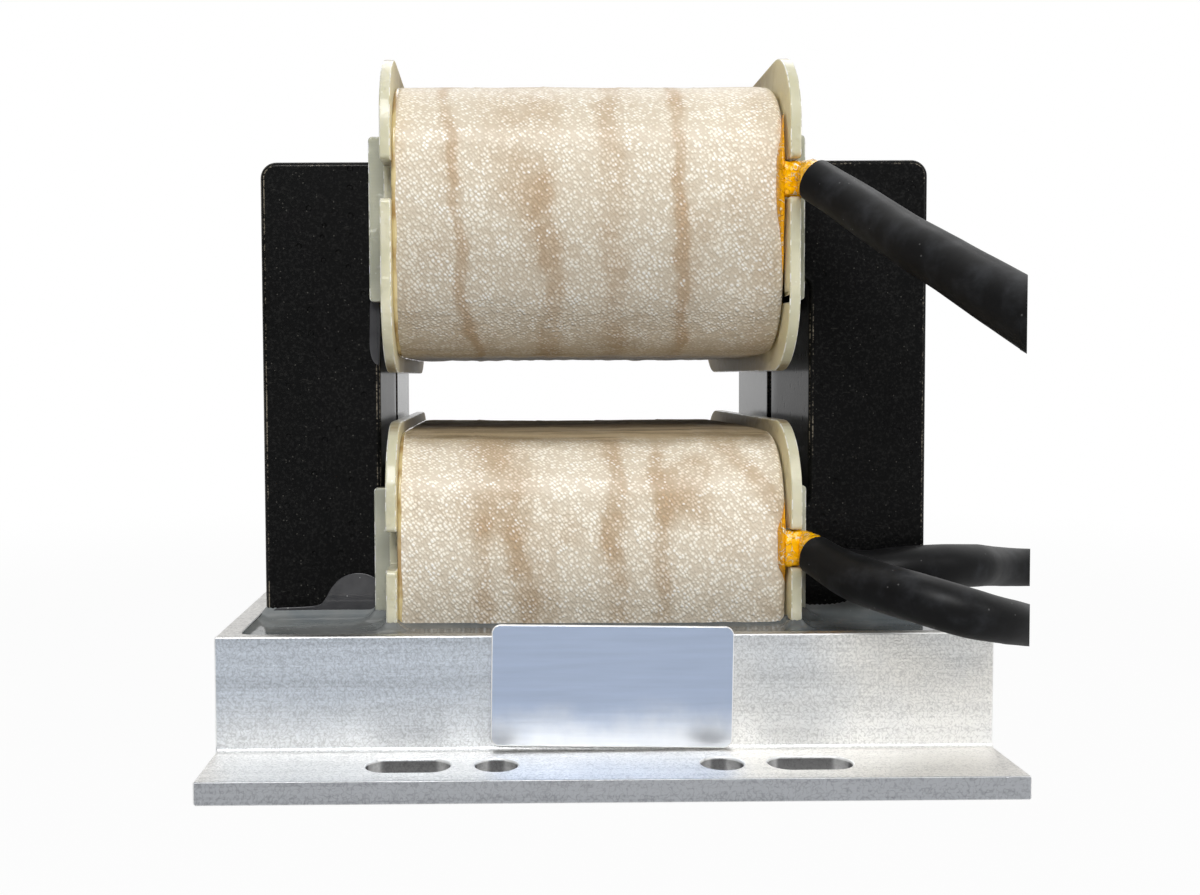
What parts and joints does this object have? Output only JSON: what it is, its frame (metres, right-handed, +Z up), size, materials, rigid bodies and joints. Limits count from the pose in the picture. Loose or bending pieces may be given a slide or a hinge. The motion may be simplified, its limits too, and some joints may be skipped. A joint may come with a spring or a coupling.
{
  "type": "high frequency reactor",
  "caption": "Two glass-cloth wrapped coils on a rectangular ferrite core, potted in an aluminium mounting tray, with black sleeved leads at one side.",
  "frame": {"origin": "middle of the tray's underside", "axes": "+X along the tray and through both coils, towards the side where the leads leave; +Y from the side with the rating plate to the rear; +Z up"},
  "size_m": [0.2012, 0.2124, 0.1609],
  "materials": {
    "aluminium": "satin, drawn and milled, fine lines along the tray",
    "ferrite": "near black, resin-varnished, fine speckle, glossy rounded edges",
    "laminate": "pale cream-green glass laminate, glossy with resin",
    "litz": "stranded copper",
    "amber_film": "amber film, wrinkled and glossy",
    "glass_cloth": "cream glass cloth soaked in resin, tan streaks",
    "sleeve": "matte black shrink sleeve",
    "potting": "grey potting compound, glossy, with a raised edge on what stands in it",
    "rating_plate": "bluish satin sheet, blank"
  },
  "bodies": {
    "root": {"mounting_tray": "aluminium", "potting_compound": "potting", "rating_plate": "rating_plate", "core_front_left": "ferrite", "core_front_right": "ferrite", "core_rear_left": "ferrite", "core_rear_right": "ferrite", "core_divider_left": "laminate", "core_divider_right": "laminate", "gap_spacer_upper_front": "laminate", "gap_spacer_upper_rear": "laminate", "gap_spacer_lower_front": "laminate", "gap_spacer_lower_rear": "laminate", "upper_flange_left": "laminate", "upper_flange_right": "laminate", "upper_tube_front": "laminate", "upper_tube_rear": "laminate", "upper_tube_top": "laminate", "upper_tube_bottom": "laminate", "upper_winding": "litz", "upper_film_wrap": "amber_film", "upper_cloth_wrap": "glass_cloth", "lower_flange_left": "laminate", "lower_flange_right": "laminate", "lower_tube_front": "laminate", "lower_tube_rear": "laminate", "lower_tube_top": "laminate", "lower_tube_bottom": "laminate", "lower_winding": "litz", "lower_film_wrap": "amber_film", "lower_cloth_wrap": "glass_cloth", "upper_cable_end": "amber_film", "upper_lead": "sleeve", "lower_front_cable_end": "amber_film", "lower_front_lead": "sleeve", "lower_rear_cable_end": "amber_film", "lower_rear_lead": "sleeve"}
  },
  "joints": []
}
